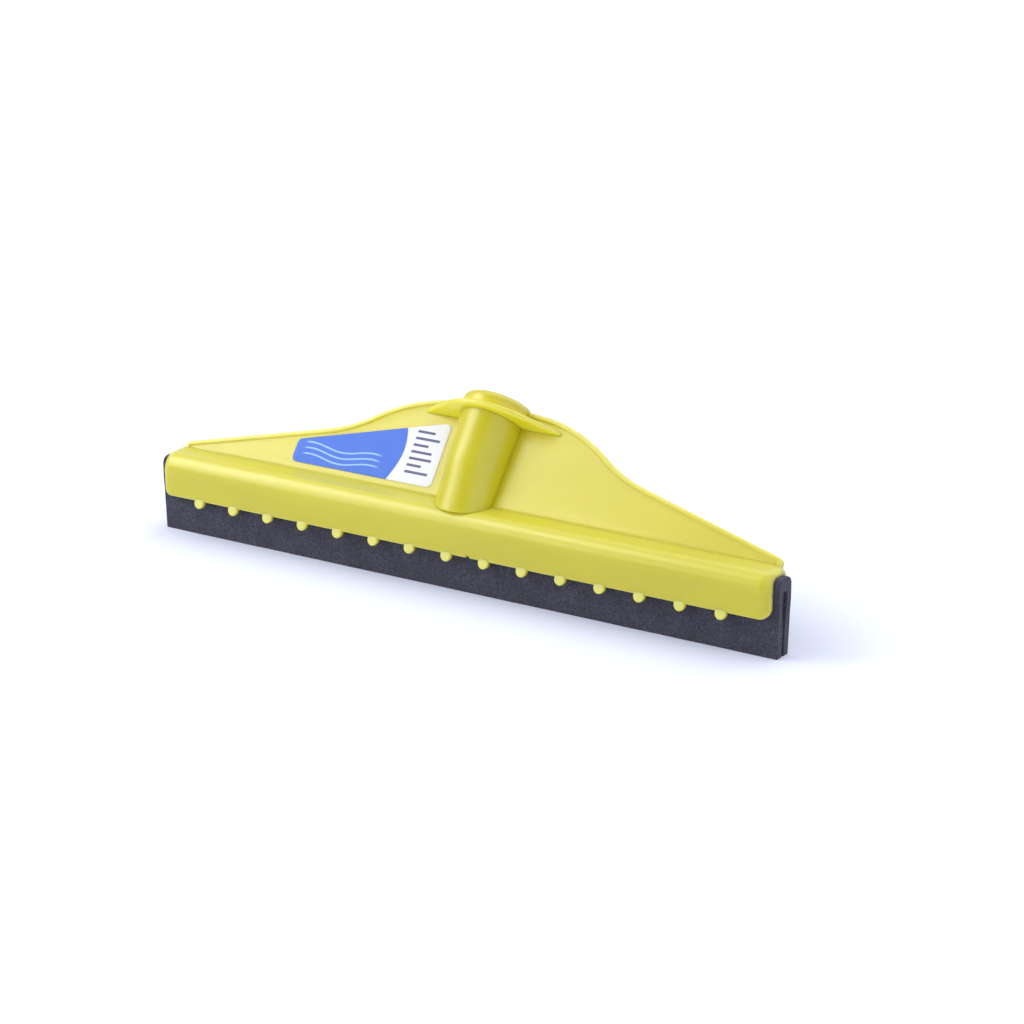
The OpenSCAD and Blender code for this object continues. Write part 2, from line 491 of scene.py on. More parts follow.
@dataclass(frozen=True)
class FoamRubber:
    """Black sponge rubber with closed cells: fine pale specks, pits and a chalky sheen.

    Attributes:
        name: the material's name.
        color: colour of the cell walls.
        speck: colour of the specks.
        cell: width of a cell.
        worn_size: width of a patch with more or fewer specks.
        rough: roughness of the cut cells.
        mirror: strength of their reflection.
        haze: strength of the chalky sheen.
        haze_rough: spread of that sheen.
        pit_depth: depth of the pits.
        pit_share: share of that depth which shows.
    """

    name: str = "black_foam"
    color: Color = srgb(48, 47, 60)
    speck: Color = srgb(88, 86, 104)
    cell: float = 0.42 * MM
    worn_size: float = 9 * MM
    rough: float = 0.88
    mirror: float = 0.35
    haze: float = 0.12
    haze_rough: float = 0.6
    pit_depth: float = 0.09 * MM
    pit_share: float = 0.7

    def make(self) -> bpy.types.Material:
        """Builds the material."""
        g = Graph(self.name)
        shader = g.add("ShaderNodeBsdfPrincipled")
        g.fix(
            shader, Roughness=self.rough, Specular_IOR_Level=self.mirror,
            Sheen_Weight=self.haze, Sheen_Roughness=self.haze_rough,
        )
        where = g.place()
        grain = g.noise(where, 1.5 * self.cell, 3)
        specks = g.remap(grain, 0.38, 0.68)
        worn = g.remap(g.noise(where, self.worn_size, 3), 0.35, 0.7, 0.5, 1.0)
        g.feed(shader.inputs["Base Color"], g.blend(g.math("MULTIPLY", specks, worn), self.color, self.speck))
        pits = g.math("ADD", g.cells(where, self.cell), g.math("MULTIPLY", grain, 0.6))
        g.feed(shader.inputs["Normal"], g.bump(pits, self.pit_depth, self.pit_share))
        return g.surface(shader.outputs["BSDF"])


@dataclass(frozen=True)
class PrintedPaper:
    """Gloss paper sticker: a blue field with pale wave lines, and rows of short bars on white.

    The pattern reads the piece's UV map, which holds millimetres from the sticker's lower far corner.

    Attributes:
        name: the material's name.
        paper: bare paper.
        ink: the blue field.
        wash: pale blue of the wave lines.
        bar: dark blue of the bars.
        field: length of the blue field, in millimetres.
    """

    name: str = "printed_sticker"
    paper: Color = srgb(238, 239, 245)
    ink: Color = srgb(50, 110, 222)
    wash: Color = srgb(150, 196, 240)
    bar: Color = srgb(84, 92, 134)
    field: float = 49.0

    def make(self) -> bpy.types.Material:
        """Builds the material."""
        g = Graph(self.name)
        shader = g.add("ShaderNodeBsdfPrincipled")
        split = g.add("ShaderNodeSeparateXYZ")
        g.feed(split.inputs[0], g.add("ShaderNodeUVMap", uv_map="sticker").outputs["UV"])
        u, v = split.outputs["X"], split.outputs["Y"]
        face = g.blend(self.in_field(g, u, v), self.paper, self.ink)
        face = g.blend(self.waves(g, u, v), face, self.wash)
        face = g.blend(self.bars(g, u, v), face, self.bar)
        g.feed(shader.inputs["Base Color"], face)
        g.feed(shader.inputs["Roughness"], g.remap(g.noise(g.place(), 3 * MM, 2), 0.3, 0.7, 0.36, 0.44))
        g.feed(shader.inputs["Normal"], g.bump(g.noise(g.place(), 9 * MM, 2), 0.1 * MM))
        return g.surface(shader.outputs["BSDF"])

    def in_field(self, g: Graph, u: Socket, v: Socket) -> Socket:
        """Where the blue is: u below the field's end, which bulges with v as 4 sin(v / 9)."""
        bulge = g.math("MULTIPLY", g.math("SINE", g.math("DIVIDE", v, 9.0)), 4.0)
        edge = g.math("SUBTRACT", g.math("ADD", bulge, self.field), u)
        return g.remap(edge, -0.06, 0.06)

    def waves(self, g: Graph, u: Socket, v: Socket) -> Socket:
        """Three pale lines in the field: v minus 1.1 sin(u / 5) falls near a multiple of 2.6, and only from 3 to 10."""
        height = g.math("SUBTRACT", v, g.math("MULTIPLY", g.math("SINE", g.math("DIVIDE", u, 5.0)), 1.1))
        near = g.math("PINGPONG", g.math("SUBTRACT", height, 3.4), 1.3)
        line = g.remap(near, 0.42, 0.3)
        low, high = g.remap(height, 2.6, 2.7), g.remap(height, 9.6, 9.5)
        reach = g.math("MULTIPLY", g.remap(u, 4.0, 6.0), g.remap(u, self.field - 5, self.field - 8))
        return g.product(line, reach, low, high)

    def bars(self, g: Graph, u: Socket, v: Socket) -> Socket:
        """Rows of short bars on the bare paper: v near a multiple of 3, with each row's end moved by a sine of v."""
        row = g.remap(g.math("PINGPONG", g.math("SUBTRACT", v, 5.0), 1.5), 0.62, 0.5)
        number = g.math("FLOOR", g.math("DIVIDE", v, 3.0))
        reach = g.math("MULTIPLY", g.math("SINE", g.math("MULTIPLY", number, 2.3)), 2.5)
        start = g.remap(u, self.field + 7.4, self.field + 7.5)
        stop = g.remap(g.math("SUBTRACT", u, reach), self.field + 17.1, self.field + 17.0)
        low, high = g.remap(v, 3.9, 4.0), g.remap(v, 24.1, 24.0)
        return g.product(row, start, stop, low, high)


@dataclass(frozen=True)
class StudioFloor:
    """Pale studio floor: seen directly it glows near white away from the head, and it keeps the object's shadow.

    Attributes:
        name: the material's name.
        color: the floor's colour; its blue is a painted shade tint, which shows only in the shadow, as the lit floor
            renders white.
        glow: colour of the light that is added for the camera; bluish, so that the faint shadow is tinted blue.
        half: half length of the strip of floor that the head stands over.
        near: strength of that light beside the strip.
        far: its strength a little away from it.
        rest: what is added to that towards the background.
    """

    name: str = "studio_floor"
    color: Color = (0.74, 0.77, 0.95)
    glow: Color = (0.82, 0.87, 1.0)
    half: float = 116 * MM
    near: float = 0.06
    far: float = 0.5
    rest: float = 0.65

    def make(self) -> bpy.types.Material:
        """Builds the material."""
        g = Graph(self.name)
        diffuse = g.add("ShaderNodeBsdfDiffuse")
        drift = g.remap(g.noise(g.place(), 0.4, 2), 0.3, 0.7)
        g.feed(diffuse.inputs["Color"], g.blend(drift, self.color, tuple(0.985 * c for c in self.color)))
        glow = g.add("ShaderNodeEmission")
        glow.inputs["Color"].default_value = (*self.glow, 1.0)
        reach = self.reach(g)
        close = g.remap(reach, 12 * MM, 85 * MM, self.near, self.far)
        g.feed(glow.inputs["Strength"], g.math("ADD", close, g.remap(reach, 0.1, 0.5, 0.0, self.rest)))
        seen = g.add("ShaderNodeLightPath").outputs["Is Camera Ray"]
        lit = g.add("ShaderNodeAddShader")
        g.feed(lit.inputs[0], diffuse.outputs[0])
        g.feed(lit.inputs[1], glow.outputs[0])
        choice = g.add("ShaderNodeMixShader")
        g.feed(choice.inputs[0], seen)
        g.feed(choice.inputs[1], diffuse.outputs[0])
        g.feed(choice.inputs[2], lit.outputs[0])
        return g.surface(choice.outputs[0])

    def reach(self, g: Graph) -> Socket:
        """Distance from the strip's middle line: the root of (|x| - half, not below 0) squared plus y squared."""
        split = g.add("ShaderNodeSeparateXYZ")
        g.feed(split.inputs[0], g.place())
        beyond = g.math("MAXIMUM", g.math("SUBTRACT", g.math("ABSOLUTE", split.outputs["X"]), self.half), 0.0)
        across = g.math("POWER", g.math("ABSOLUTE", split.outputs["Y"]), 2.0)
        return g.math("SQRT", g.math("ADD", g.math("POWER", beyond, 2.0), across))


# The head


@dataclass(frozen=True)
class Layout:
    """Places that several pieces share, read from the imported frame.

    Attributes:
        mid_y: the blade's middle plane.
        half_length: half the channel's length.
        half_depth: half the channel's depth.
        jaw_z: lower edge of the jaws.
        roof_z: top of the channel.
        lean: angle by which the web and the socket lean back.
        root_y: the web's front face at its root.
        forward: how far the socket's axis lies in front of that face.
        mouth_s: height of the socket's mouth along the slope.
        bore_r: radius of the handle's bore.
        bore_depth: depth of that bore.
    """

    mid_y: float
    half_length: float
    half_depth: float
    jaw_z: float
    roof_z: float
    lean: float
    root_y: float
    forward: float
    mouth_s: float
    bore_r: float
    bore_depth: float

    @classmethod
    def read(cls, forward: float = 0.4 * MM) -> "Layout":
        """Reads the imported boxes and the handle's mount.

        The mouth lies at root + mouth_s up the slope - forward along the web's normal, which gives the root.

        Args:
            forward: how far the socket's axis lies in front of the web's face.

        Returns:
            The layout.
        """
        low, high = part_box("blade_channel")
        bore = next(m for m in frame["record"]["mounts"] if m["name"] == "handle_socket")
        _, mouth_y, mouth_z = bore["pos_m"]
        lean = math.atan2(bore["axis"][1], bore["axis"][2])
        mouth_s = (mouth_z - high.z - forward * math.sin(lean)) / math.cos(lean)
        return cls(
            mid_y=(low.y + high.y) / 2,
            half_length=high.x,
            half_depth=(high.y - low.y) / 2,
            jaw_z=low.z,
            roof_z=high.z,
            lean=lean,
            root_y=mouth_y + forward * math.cos(lean) - mouth_s * math.sin(lean),
            forward=forward,
            mouth_s=mouth_s,
            bore_r=bore["dims"]["r_mm"] * MM,
            bore_depth=bore["dims"]["length_mm"] * MM,
        )

    def upright(self, x: Array, y: Array, z: Array) -> Array:
        """Points of the channel or the blade: y counts from the blade's middle plane.

        Args:
            x: along the head.
            y: to the back.
            z: up.

        Returns:
            Points in the frame, [..., 3].
        """
        return np.stack(np.broadcast_arrays(x, y + self.mid_y, z), -1)

    def leaning(self, x: Array, q: Array, s: Array) -> Array:
        """Points on the leaning web: q counts to the back from its front face, s up the slope from its root.

        Args:
            x: along the head.
            q: to the back, square to the web.
            s: up the slope.

        Returns:
            Points in the frame, [..., 3].
        """
        cos, sin = math.cos(self.lean), math.sin(self.lean)
        y = self.root_y + q * cos + s * sin
        z = self.roof_z - q * sin + s * cos
        return np.stack(np.broadcast_arrays(x, y, z), -1)


@dataclass
class BladeChannel:
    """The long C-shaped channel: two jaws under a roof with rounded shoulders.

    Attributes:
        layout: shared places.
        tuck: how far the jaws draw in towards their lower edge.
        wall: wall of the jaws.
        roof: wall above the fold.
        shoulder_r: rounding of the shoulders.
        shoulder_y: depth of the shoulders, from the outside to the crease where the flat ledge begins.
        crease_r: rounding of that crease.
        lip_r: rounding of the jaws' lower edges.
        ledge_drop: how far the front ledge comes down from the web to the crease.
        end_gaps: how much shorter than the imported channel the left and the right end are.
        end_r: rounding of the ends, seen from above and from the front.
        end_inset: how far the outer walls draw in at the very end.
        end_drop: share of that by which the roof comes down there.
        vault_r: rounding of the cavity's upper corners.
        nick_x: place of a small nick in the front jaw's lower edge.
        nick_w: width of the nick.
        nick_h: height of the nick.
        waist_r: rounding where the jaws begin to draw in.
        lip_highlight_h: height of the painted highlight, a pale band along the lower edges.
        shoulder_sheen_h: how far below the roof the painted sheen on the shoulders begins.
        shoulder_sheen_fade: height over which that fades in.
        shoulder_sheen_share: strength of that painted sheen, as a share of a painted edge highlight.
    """

    layout: Layout
    tuck: float = 0.3 * MM
    wall: float = 3.95 * MM
    roof: float = 2.7 * MM
    shoulder_r: float = 7.2 * MM
    shoulder_y: float = 4.7 * MM
    crease_r: float = 0.25 * MM
    lip_r: float = 0.8 * MM
    ledge_drop: float = 0.6 * MM
    end_gaps: tuple[float, float] = (0.1 * MM, 1.7 * MM)
    end_r: float = 4.2 * MM
    end_inset: float = 3.2 * MM
    end_drop: float = 0.7
    vault_r: float = 3.0 * MM
    nick_x: float = 9.4 * MM
    nick_w: float = 0.9 * MM
    nick_h: float = 0.8 * MM
    waist_r: float = 30 * MM
    lip_highlight_h: float = 1.1 * MM
    shoulder_sheen_h: float = 5.5 * MM
    shoulder_sheen_fade: float = 3 * MM
    shoulder_sheen_share: float = 0.4

    def stations(self) -> tuple[Array, Array]:
        """Places along X, and how far round the end's quarter arc each one is.

        In the end's arc x is the straight part's end plus r sin(turn), and the turn goes from 0 to a right angle.

        Returns:
            x and turn, both [m].
        """
        left, right = (self.layout.half_length - gap - self.end_r for gap in self.end_gaps)
        even = np.linspace(-left, right, 121)
        near_nick = self.nick_x + self.nick_w * np.linspace(-2.2, 2.2, 23)
        middle = np.unique(np.concatenate([even, near_nick]))
        turn = np.linspace(0, np.pi / 2, 15)[1:]
        end = self.end_r * np.sin(turn)
        x = np.concatenate([-left - end[::-1], middle, right + end])
        return x, np.concatenate([turn[::-1], np.zeros(len(middle)), turn])

    def build(self) -> bpy.types.Object:
        """Builds the channel's skin.

        The C is an outline of twelve rounded corners. Towards an end its outer corners draw in by inset (1 - cos turn)
        and its lower edges rise by r (1 - cos turn). The nick raises the front jaw's edge by a bell curve of x. A
        shoulder's arc touches the jaw's face and ends in the crease with a slope of (r - depth) / sqrt(r squared - (r -
        depth) squared).

        Returns:
            The piece.
        """
        x, turn = self.stations()
        inset = self.end_inset * (1 - np.cos(turn))
        low = self.layout.jaw_z + self.end_r * (1 - np.cos(turn))
        nicked = low + self.nick_h * np.exp(-(((x - self.nick_x) / self.nick_w) ** 4))
        out = self.layout.half_depth - inset
        inn = np.full_like(x, self.layout.half_depth - self.wall)
        top = self.layout.roof_z - self.end_drop * inset
        ceiling = np.full_like(x, self.layout.roof_z - self.roof)
        rest = self.shoulder_r - self.shoulder_y
        shoulder = top - self.shoulder_y * rest / math.sqrt(self.shoulder_r**2 - rest**2)
        crease = out - self.shoulder_y
        foot = out - self.tuck * (0.2 + 0.8 * np.cos(turn))
        waist = (self.layout.jaw_z + self.layout.roof_z) / 2 + 0 * x
        corners = np.stack([
            np.stack([-inn, nicked], -1), np.stack([-foot, nicked], -1), np.stack([-out, waist], -1),
            np.stack([-out, shoulder - self.ledge_drop], -1), np.stack([-crease, top - self.ledge_drop], -1),
            np.stack([crease, top], -1),
            np.stack([out, shoulder], -1), np.stack([out, waist], -1), np.stack([foot, low], -1),
            np.stack([inn, low], -1), np.stack([inn, ceiling], -1), np.stack([-inn, ceiling], -1),
        ], -2)
        lip = np.minimum(self.lip_r, 0.42 * (foot - inn))
        round_r = 0.98 * self.shoulder_r
        fixed = [self.waist_r, round_r, self.crease_r, self.crease_r, round_r, self.waist_r]
        vault = self.vault_r + 0 * x
        radii = np.stack([lip, lip, *(r + 0 * x for r in fixed), lip, lip, vault, vault], -1)
        outline = rounded_path(corners, radii, 10, 5, closed=True)
        y, z = outline[..., 0], outline[..., 1]
        piece = skin("channel_moulding", self.layout.upright(x[:, None], y, z))
        # painted highlights: a pale band along the lower edges, a painted sheen on the shoulders and paler rounded ends
        rim = smooth(1 - (z - low[:, None]) / self.lip_highlight_h)
        shoulder_sheen = self.shoulder_sheen_share * smooth((z - self.layout.roof_z + self.shoulder_sheen_h) / self.shoulder_sheen_fade)
        tip = smooth((turn[:, None] - 1.0) / 0.5)
        mark(piece, "edge", np.maximum(np.maximum(rim, shoulder_sheen), tip))
        return piece


@dataclass
class GripPegs:
    """A row of pegs along one jaw's lower edge.

    Attributes:
        layout: shared places.
        side: the jaw that carries the row.
        count: pegs in the row.
        head_r: radius of a peg's round head.
        head_h: depth of the head, from the peg's outer face.
        shift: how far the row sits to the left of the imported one.
        edge_r: rounding of a peg's outer edge.
        sink: how far the outer face sinks towards its top, where it runs into the jaw.
        post_share: radius of the post as a share of the head's.
        cap_r: radius of the small flat face at the middle of each end.
    """

    layout: Layout
    side: Side
    count: int = 15
    head_r: float = 2.6 * MM
    head_h: float = 1.9 * MM
    shift: float = 1.0 * MM
    edge_r: float = 0.7 * MM
    sink: float = 1.5 * MM
    post_share: float = 0.5
    cap_r: float = 0.2 * MM

    @property
    def node(self) -> str:
        """Name of the CAD node that the row stands for."""
        return "front_grip_pegs" if self.side is Side.FRONT else "back_grip_pegs"

    def build(self) -> bpy.types.Object:
        """Builds the row.

        A peg is a round head on a thinner post, turned about Y: an outline of depth against radius with a rounded outer
        edge. Its face leans: the depth loses sink (1 + height / R) / 2, eased in along the peg.

        Returns:
            The piece.
        """
        low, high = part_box(self.node)
        packed, radius = (high.z - low.z) / 2, self.head_r
        length = high.y - low.y
        mid_z = (high.z + low.z) / 2
        x = np.linspace(low.x + packed, high.x - packed, self.count) - self.shift
        back = length - self.head_h
        thin = self.post_share * radius
        post = rounded_path(
            [[0, self.cap_r], [0, thin], [back - 0.5 * MM, thin], [back, radius], [length, radius],
             [length, self.cap_r]],
            [0, 0.3 * MM, 0.2 * MM, 0.3 * MM, self.edge_r, 0], 8, 4, closed=False,
        )
        turn = np.linspace(0, 2 * np.pi, 40, endpoint=False)
        height = post[:, None, 1] * np.sin(turn)
        lean = self.sink * (1 + height / radius) / 2 * smooth(post[:, None, 0] / length)
        inner = low.y if self.side is Side.BACK else high.y
        y = inner + self.side.value * (post[:, None, 0] - lean)
        rows = np.stack(np.broadcast_arrays(
            x[:, None, None] + post[:, None, 1] * np.cos(turn), y, mid_z + height,
        ), -1)
        piece = skin(f"{self.side.name.lower()}_pegs", rows)
        # painted highlight: the outer faces of the pegs take the pale edge colour
        face = smooth((post[:, 0] / length - 0.9) / 0.1) * smooth((radius - post[:, 1]) / self.edge_r + 0.5)
        mark(piece, "edge", np.broadcast_to(0.9 * face[None, :, None], rows.shape[:3]))
        return piece


@dataclass
class WebPanel:
    """The thin web that leans back, with a raised rim along its upper edge and its two ends.

    Attributes:
        layout: shared places.
        thick: thickness of the web.
        height: height of the crown along the slope.
        crown_x: half width of the crown.
        crown_r: rounding of the crown's corners.
        hollow_x: half width where the steep flank meets the long slope.
        hollow_s: height of that corner.
        hollow_r: rounding of that corner.
        end_s: height at the two ends.
        end_r: rounding of the corners at the ends.
        rim_w: width of the rim.
        rim_proud: how far the rim stands out of each face.
        rim_slope: width of the rim's sloping inner side.
        edge_r: rounding of the rim's outer edges.
        root_r: fillet at the root.
        sunk: how far the web reaches below the roof.
        end_gap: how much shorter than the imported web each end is.
        tube_x: where each half of the web ends inside the tube's wall, which leaves the bore free.
    """

    layout: Layout
    thick: float = 2.0 * MM
    height: float = 42.4 * MM
    crown_x: float = 37.5 * MM
    crown_r: float = 74 * MM
    hollow_x: float = 66.5 * MM
    hollow_s: float = 22.8 * MM
    hollow_r: float = 70 * MM
    end_s: float = 2.6 * MM
    end_r: float = 2.6 * MM
    rim_w: float = 1.7 * MM
    rim_proud: float = 0.45 * MM
    rim_slope: float = 1.0 * MM
    edge_r: float = 0.8 * MM
    root_r: float = 0.7 * MM
    sunk: float = 3.2 * MM
    end_gap: float = 0.7 * MM
    tube_x: float = 11.5 * MM

    def edge_path(self) -> Array:
        """The right half's upper edge, from the tube's wall to the root, as x and s, [t, 2]."""
        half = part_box("web_panel")[1].x - self.end_gap
        corners = [
            (self.tube_x, self.height), (self.crown_x, self.height), (self.hollow_x, self.hollow_s),
            (half, self.end_s), (half, -self.sunk),
        ]
        radii = [0, self.crown_r, self.hollow_r, self.end_r, 0]
        return rounded_path(corners, radii, 18, 14, closed=False)

    def rim_profile(self) -> tuple[Array, Array]:
        """One face of the rim: distance in from the edge, and how far it stands out of the web.

        The inner side eases from 0 to the rim's height over the slope, and the outer corner is a quarter round.

        Returns:
            distance and height, both from the panel outwards, [r].
        """
        rise = np.linspace(0, 1, 8)
        slope = self.rim_w + self.rim_slope * (1 - rise)
        flat = np.linspace(self.rim_w, self.edge_r, 4)[1:]
        turn = np.linspace(0, np.pi / 2, 8)[1:]
        distance = np.concatenate([slope, flat, self.edge_r * (1 - np.sin(turn))])
        height = np.concatenate([
            self.rim_proud * smooth(rise), np.full(3, self.rim_proud),
            self.rim_proud - self.edge_r * (1 - np.cos(turn)),
        ])
        return distance, height

    def build(self) -> bpy.types.Object:
        """Builds the web.

        Each station lies on the upper edge. From there the rim's profile goes inwards along the edge's normal, and the
        panel runs straight down to the root, where it flares out on a fillet: q is -r (1 - cos) as s goes below r. The
        left half is the right one mirrored, with its columns turned round so that its faces stay outward.

        Returns:
            The piece.
        """
        path = self.edge_path()
        inward = inward_normals(path)
        distance, height = self.rim_profile()
        rim_x = path[:, None, 0] + inward[:, None, 0] * distance
        rim_s = path[:, None, 1] + inward[:, None, 1] * distance
        top = rim_s[:, :1]
        start = np.minimum(self.root_r, top)
        foot = np.linspace(-self.sunk, self.root_r, 9)[:-1]
        climb = np.linspace(0, 1, 7)[:-1]
        panel_s = np.concatenate([np.minimum(foot, top), start + (top - start) * climb], 1)
        panel_x = np.broadcast_to(rim_x[:, :1], panel_s.shape)
        drop = np.clip((self.root_r - panel_s) / self.root_r, 0, 1)
        fade = smooth((top - 2 * MM) / (3 * MM))
        flare = fade * self.root_r * 0.8 * (1 - np.sqrt(np.clip(1 - drop**2, 0, 1)))
        front_q = np.concatenate([-flare, np.broadcast_to(-height, rim_s.shape)], 1)
        back_q = self.thick + np.concatenate([0 * flare, np.broadcast_to(height, rim_s.shape)], 1)
        x = np.concatenate([panel_x, rim_x], 1)
        s = np.concatenate([panel_s, rim_s], 1)
        right = np.concatenate([
            self.layout.leaning(x, front_q, s), self.layout.leaning(x, back_q, s)[:, ::-1]
        ], 1)
        rows = np.stack([right, right[:, ::-1] * [-1, 1, 1]])
        piece = skin("web_moulding", rows)
        # painted highlight: the rim's top takes the pale edge colour
        glow = np.concatenate([np.zeros(panel_s.shape[1]), smooth((self.rim_w - distance) / self.rim_w)])
        mark(piece, "edge", np.broadcast_to(np.concatenate([glow, glow[::-1]]), rows.shape[:3]))
        return piece


@dataclass
class HandleSocket:
    """The tapered tube for the handle, with the ring round its mouth and the lens-shaped collar below it.

    Attributes:
        layout: shared places.
        foot_r: radius at the foot.
        foot_s: lowest point along the slope at the back, below the web's root.
        foot_z: height of the foot's level cut in front of the web, above the channel's roof.
        foot_edge: rounding of the foot.
        foot_depth: share of the tube's depth in front of the web that is left at the foot.
        draw_s: height along the slope below which the front draws in to that.
        foot_reach: height along the slope up to which the tube is stretched down to that cut.
        web_t: thickness of the web.
        fillet: rounding between the tube and the web.
        neck_r: radius under the ring.
        ring_r: radius of the ring.
        ring_h: height of the ring.
        ring_edge: rounding of its upper edge.
        mouth_rise: how far the rounded mouth stands above the plane of the handle's mount.
        mouth_edge: rounding of the bore's edge.
        collar_s: height of the collar's lower face along the slope, where it meets the web.
        collar_rise: how much higher that face lies at the collar's front.
        collar_t: thickness of the collar.
        tip_t: share of that thickness that is left at the tips.
        tip_q: half width of the blunt tips.
        collar_x: half width of the collar, to its tips.
        collar_q: how far the collar stands out of the web.
        cap_r: radius of the small flat face in the middle of the foot and of the bore's floor.
        floor_edge: rounding of the bore's floor.
    """

    layout: Layout
    foot_r: float = 12.6 * MM
    foot_s: float = -3.5 * MM
    foot_z: float = -0.9 * MM
    foot_edge: float = 1.2 * MM
    foot_depth: float = 0.74
    draw_s: float = 14 * MM
    foot_reach: float = 20 * MM
    web_t: float = 2.0 * MM
    fillet: float = 0.12 * MM
    neck_r: float = 13.9 * MM
    ring_r: float = 14.8 * MM
    ring_h: float = 5.8 * MM
    ring_edge: float = 3.4 * MM
    mouth_rise: float = 0.8 * MM
    mouth_edge: float = 0.5 * MM
    collar_s: float = 34.2 * MM
    collar_rise: float = 2.4 * MM
    collar_t: float = 2.4 * MM
    tip_t: float = 0.55
    tip_q: float = 0.8 * MM
    collar_x: float = 33 * MM
    collar_q: float = 17.7 * MM
    cap_r: float = 2 * MM
    floor_edge: float = 0.8 * MM

    def build_tube(self) -> bpy.types.Object:
        """Builds the tube, its ring and its bore.

        One profile of radius against s is turned about the socket's axis: across the foot, up the taper, over the ring
        and down the bore to its floor. Then the front draws in towards the foot, the wall flares out to the web on a
        fillet, and the foot is stretched down to its level cut. The turn is a = t - 0.4 sin 2t, which sets more points
        beside the web.

        Returns:
            The piece.
        """
        top = self.layout.mouth_s + self.mouth_rise
        ring_s = top - self.ring_h
        bore = self.layout.bore_r
        floor_s = self.layout.mouth_s - self.layout.bore_depth
        profile = rounded_path(
            [[self.cap_r, self.foot_s], [self.foot_r, self.foot_s], [self.neck_r, ring_s - 0.2 * MM],
             [self.ring_r, ring_s], [self.ring_r, top], [bore, top], [bore, floor_s], [self.cap_r, floor_s]],
            [0, self.foot_edge, 0.25 * MM, 0.35 * MM, self.ring_edge, self.mouth_edge, self.floor_edge, 0],
            10, 12, closed=False,
        )
        turn = np.linspace(0, 2 * np.pi, 160, endpoint=False)
        turn = turn - 0.4 * np.sin(2 * turn)
        r, s = profile[:, None, 0], profile[:, None, 1]
        q = self.draw_in(r * np.sin(turn) - self.layout.forward, s)
        outside = (r > self.foot_r - 0.4 * MM) * smooth((ring_s - s) / (2 * MM))
        x = r * np.cos(turn) + np.sign(np.cos(turn)) * outside * self.flare(q)
        piece = skin("socket_moulding", self.layout.leaning(x, q, self.cut_level(q, s, floor_s)))
        # painted highlight: the ring and the mouth take a little of the pale edge colour
        glow = smooth((s - ring_s) / (4 * MM)) * (r > bore + 0.3 * MM)
        mark(piece, "edge", np.broadcast_to(0.12 * glow, (len(profile), len(turn))))
        # painted glow: the ring's lower band takes the warm colour of a thin wall
        ring_glow = smooth((s - ring_s + 1 * MM) / MM) * smooth((ring_s + 3 * MM - s) / (2 * MM)) * (r > bore + MM)
        mark(piece, "thin", np.broadcast_to(0.6 * ring_glow, (len(profile), len(turn))))
        return piece

    def draw_in(self, q: Array, s: Array) -> Array:
        """Makes the tube shallower towards its foot.

        Depth in front of the web is multiplied by a share that eases from 1 at draw_s to foot_depth at the foot.

        Args:
            q: distance to the back from the web's front face.
            s: height along the slope.

        Returns:
            The changed distances.
        """
        share = self.foot_depth + (1 - self.foot_depth) * smooth((s - self.foot_s) / (self.draw_s - self.foot_s))
        return np.where(q < 0, q * share, q)

    def flare(self, q: Array) -> Array:
        """How far the tube widens beside the web: r - sqrt(r squared - (r - h) squared), with h off the web's face."""
        off = np.clip(np.maximum(-q, q - self.web_t), 0, self.fillet)
        return self.fillet - np.sqrt(self.fillet**2 - (self.fillet - off) ** 2)

    def cut_level(self, q: Array, s: Array, floor_s: float) -> Array:
        """Stretches the tube's lower part down to its foot.

        In front of the web the foot is level: it lies at foot_z over cos(lean) plus q tan(lean) along the slope. Behind
        the web it eases down to foot_s. Below the reach, each height's distance from the reach grows by one factor.

        Args:
            q: distance to the back from the web's front face.
            s: height along the slope before the stretch.
            floor_s: height of the bore's floor, which stays where it is.

        Returns:
            The stretched heights.
        """
        lean = self.layout.lean
        low = self.foot_z / math.cos(lean) + np.minimum(q, 0) * math.tan(lean)
        low = low + (self.foot_s - low) * smooth(q / (8 * MM))
        reach = self.foot_reach
        factor = (reach - low) / (reach - self.foot_s)
        return np.where(s < min(reach, floor_s), reach - (reach - s) * factor, s + 0 * q)

    def build_collar(self) -> bpy.types.Object:
        """Builds the collar.

        Its outline is a leaf: x is the half width times cos a, and q the depth times sin a |sin a| to the power 1.4,
        plus the tip's half width times tanh(8 sin a), which blunts the tips. Rows go from the tube's wall out over the
        top, round the edge on a half circle and back along the underside, and the plate rises evenly with its distance
        from the web.

        Returns:
            The piece.
        """
        a = np.linspace(0, 2 * np.pi, 180, endpoint=False)
        depth = (self.collar_q - self.tip_q) * np.sin(a) * np.abs(np.sin(a)) ** 1.4
        leaf = np.stack([self.collar_x * np.cos(a), depth + self.tip_q * np.tanh(8 * np.sin(a))], -1)
        hole = (self.neck_r - 1.5 * MM) * np.stack([np.cos(a), np.sin(a)], -1)
        chord = np.roll(leaf, -1, 0) - np.roll(leaf, 1, 0)
        outward = unit(np.stack([chord[:, 1], -chord[:, 0]], -1))
        thick = self.collar_t * (self.tip_t + (1 - self.tip_t) * np.abs(np.sin(a)))
        body = leaf - outward * thick[:, None] / 2
        share = np.linspace(0, 1, 8)[:-1, None, None]
        arc = np.linspace(np.pi / 2, -np.pi / 2, 13)
        flat = hole + (body - hole) * share
        edge = body + outward * (thick[:, None] / 2) * np.cos(arc)[:, None, None]
        rows = np.concatenate([flat, edge, flat[::-1]])
        level = np.concatenate([np.ones(7), np.sin(arc), -np.ones(7)])[:, None] * thick / 2
        rise = self.collar_rise * np.abs(rows[..., 1]) / self.collar_q
        points = self.layout.leaning(rows[..., 0], rows[..., 1], self.collar_s + self.collar_t / 2 + rise + level)
        piece = skin("collar_moulding", points, ring=True)
